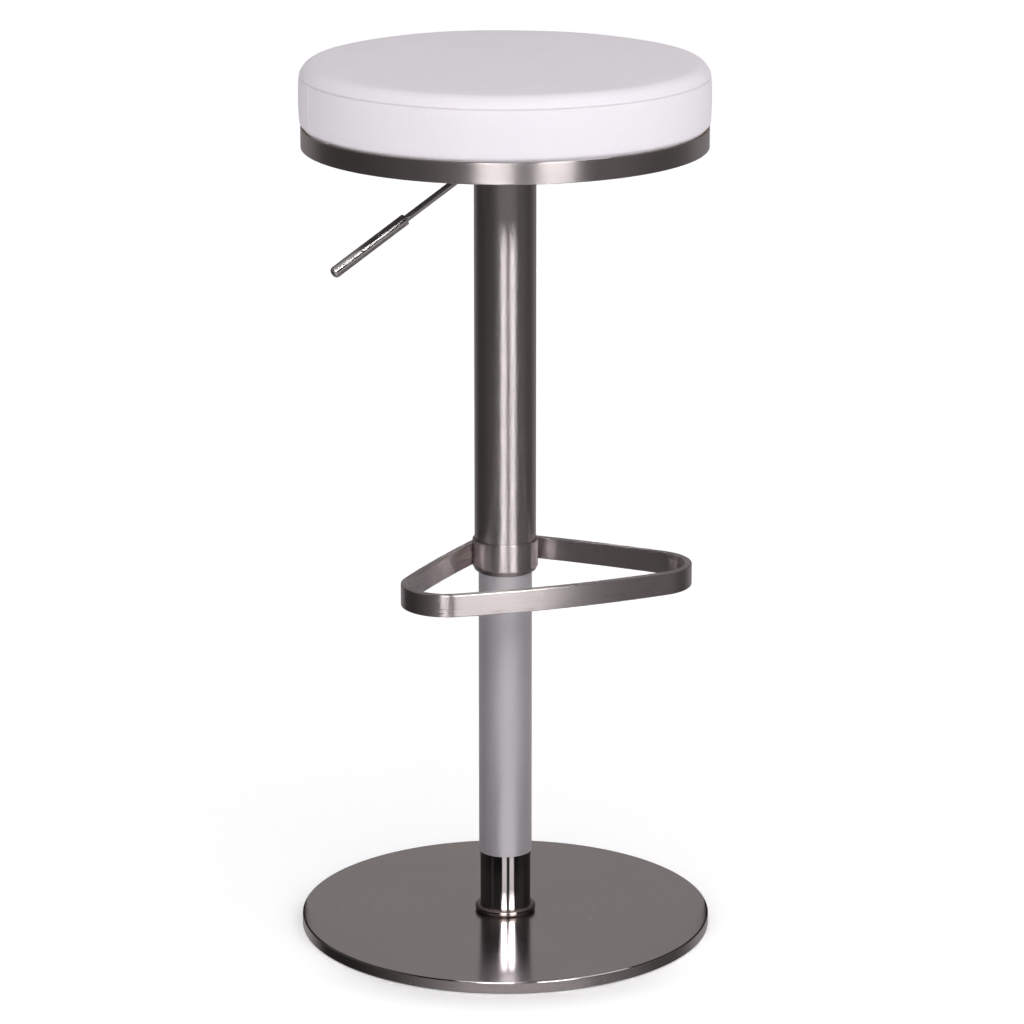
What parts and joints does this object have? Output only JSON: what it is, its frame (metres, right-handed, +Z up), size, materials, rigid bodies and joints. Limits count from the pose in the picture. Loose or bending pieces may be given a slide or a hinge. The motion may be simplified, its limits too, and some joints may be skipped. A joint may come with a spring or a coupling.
{
  "type": "adjustable swivel stool",
  "caption": "Bar stool with a round padded seat on a gas-lift swivel column, a triangular footrest bar, a bent release lever and a weighted round base.",
  "frame": {"origin": "on the floor in the middle of the round base", "axes": "+Z up along the column, -Y towards the footrest's front bar, -X towards the release lever"},
  "size_m": [0.405, 0.405, 0.87],
  "materials": {
    "chrome": "polished",
    "brushed_steel": "satin",
    "matt_silver": "satin",
    "plain_steel": "satin",
    "black_steel": "satin",
    "rubber": "matte",
    "nylon": "satin",
    "plywood": "matte",
    "felt": "matte",
    "foam": "matte",
    "faux_leather": "satin"
  },
  "bodies": {
    "base": {"floor_ring": "rubber", "ballast_plate": "black_steel", "base_cover": "brushed_steel", "column_flange": "black_steel", "flange_bolt_1": "plain_steel", "flange_bolt_2": "plain_steel", "flange_bolt_3": "plain_steel", "flange_bolt_4": "plain_steel", "standing_tube": "chrome", "column_ring": "brushed_steel", "guide_sleeve": "matt_silver", "cylinder_guide": "nylon", "rod_seat": "plain_steel", "thrust_washer_lower": "plain_steel", "ball_cage": "nylon", "thrust_ball_1": "plain_steel", "thrust_ball_2": "plain_steel", "thrust_ball_3": "plain_steel", "thrust_ball_4": "plain_steel", "thrust_ball_5": "plain_steel", "thrust_ball_6": "plain_steel", "thrust_ball_7": "plain_steel", "thrust_ball_8": "plain_steel"},
    "rod": {"piston_rod": "chrome", "piston": "plain_steel", "rod_clip": "plain_steel", "thrust_washer_upper": "plain_steel", "bump_stop": "rubber"},
    "carrier": {"pressure_tube": "black_steel", "rod_guide": "nylon", "valve_body": "plain_steel", "seat_post": "brushed_steel", "lower_slide_bush": "nylon", "upper_slide_bush": "nylon", "socket_block": "plain_steel", "pivot_pin": "plain_steel", "footrest_collar": "brushed_steel", "footrest_bar": "brushed_steel", "mounting_plate": "black_steel", "plate_screw_1": "plain_steel", "plate_screw_2": "plain_steel", "plate_screw_3": "plain_steel", "plate_screw_4": "plain_steel", "tee_nut_1": "plain_steel", "tee_nut_2": "plain_steel", "tee_nut_3": "plain_steel", "tee_nut_4": "plain_steel", "bottom_cover": "felt", "seat_board": "plywood", "seat_band": "brushed_steel", "foam_pad": "foam", "seat_cover": "faux_leather"},
    "lever": {"lever_arm": "plain_steel", "lever_rod": "chrome", "lever_handle": "chrome"},
    "valve": {"valve_pin": "plain_steel"}
  },
  "joints": [
    {"name": "swivel", "type": "hinge", "parent": "base", "child": "rod", "pos_m": [0, 0, 0.02], "axis": [0, 0, 1], "continuous": true},
    {"name": "lift", "type": "slide", "parent": "rod", "child": "carrier", "axis": [0, 0, 1], "range_m": [-0.215, 0]},
    {"name": "lever_pivot", "type": "hinge", "parent": "carrier", "child": "lever", "pos_m": [-0.016, 0, 0.764], "axis": [0, 1, 0], "range_deg": [0, 8], "stiffness_Nm_per_rad": 6},
    {"name": "valve_press", "type": "slide", "parent": "carrier", "child": "valve", "axis": [0, 0, -1], "range_m": [0, 0.0027]}
  ],
  "couplings": [
    {"joint": "valve_press", "follows": "lever_pivot", "m_per_rad": 0.018}
  ]
}
